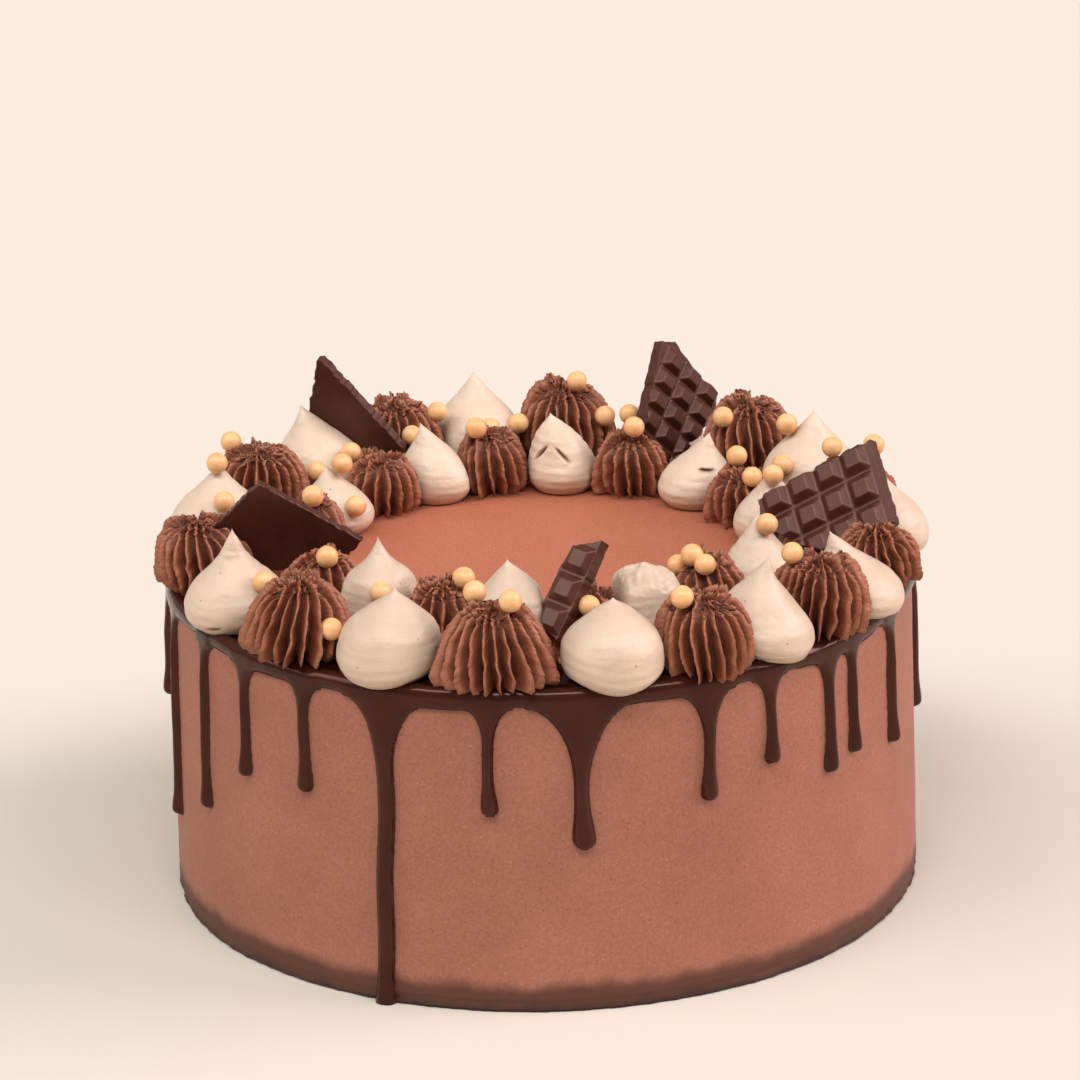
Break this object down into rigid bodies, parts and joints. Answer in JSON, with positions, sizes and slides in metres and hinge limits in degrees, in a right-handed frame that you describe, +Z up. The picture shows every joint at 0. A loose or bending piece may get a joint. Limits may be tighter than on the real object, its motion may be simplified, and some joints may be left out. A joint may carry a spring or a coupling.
{
  "type": "chocolate mud cake",
  "caption": "Round chocolate mud cake with smooth buttercream sides, a ganache drip over its rim, rings of piped kisses, pieces of chocolate bar and small pearls.",
  "frame": {"origin": "centre of the flat base, on the surface that the cake stands on", "axes": "+Z up; -Y faces the viewer of the picture, +X to the viewer's right"},
  "size_m": [0.2075, 0.2073, 0.1275],
  "materials": {
    "cake_buttercream": "smooth scraped chocolate buttercream, matt",
    "ganache": "set dark ganache, glossy",
    "light_buttercream": "piped coffee-coloured buttercream, satin",
    "chocolate_buttercream": "star-piped dark chocolate buttercream, matt",
    "dark_chocolate": "moulded dark chocolate, satin",
    "caramel_pearl": "smooth sugar-coated pearls, satin"
  },
  "bodies": {
    "root": {"cake": "cake_buttercream", "ganache_drip": "ganache", "chocolate_shard_left": "dark_chocolate", "chocolate_shard_back_left": "dark_chocolate", "chocolate_bar_back_right": "dark_chocolate", "chocolate_bar_right": "dark_chocolate", "chocolate_finger_front": "dark_chocolate", "outer_kiss_01": "light_buttercream", "outer_star_02": "chocolate_buttercream", "outer_kiss_03": "light_buttercream", "outer_star_04": "chocolate_buttercream", "outer_kiss_05": "light_buttercream", "outer_star_06": "chocolate_buttercream", "outer_kiss_07": "light_buttercream", "outer_star_08": "chocolate_buttercream", "outer_kiss_09": "light_buttercream", "outer_star_10": "chocolate_buttercream", "outer_kiss_11": "light_buttercream", "outer_star_12": "chocolate_buttercream", "outer_kiss_13": "light_buttercream", "outer_star_14": "chocolate_buttercream", "outer_kiss_15": "light_buttercream", "outer_star_16": "chocolate_buttercream", "outer_kiss_17": "light_buttercream", "outer_star_18": "chocolate_buttercream", "outer_kiss_19": "light_buttercream", "outer_star_20": "chocolate_buttercream", "outer_kiss_21": "light_buttercream", "outer_star_22": "chocolate_buttercream", "inner_kiss_01": "light_buttercream", "inner_star_02": "chocolate_buttercream", "inner_kiss_03": "light_buttercream", "inner_star_04": "chocolate_buttercream", "inner_kiss_05": "light_buttercream", "inner_star_06": "chocolate_buttercream", "inner_kiss_07": "light_buttercream", "inner_star_08": "chocolate_buttercream", "inner_kiss_09": "light_buttercream", "inner_star_10": "chocolate_buttercream", "inner_kiss_11": "light_buttercream", "inner_star_12": "chocolate_buttercream", "inner_kiss_13": "light_buttercream", "inner_star_14": "chocolate_buttercream", "inner_kiss_15": "light_buttercream", "inner_star_16": "chocolate_buttercream", "inner_kiss_17": "light_buttercream", "inner_star_18": "chocolate_buttercream", "inner_kiss_19": "light_buttercream", "inner_star_20": "chocolate_buttercream"}
  },
  "joints": []
}
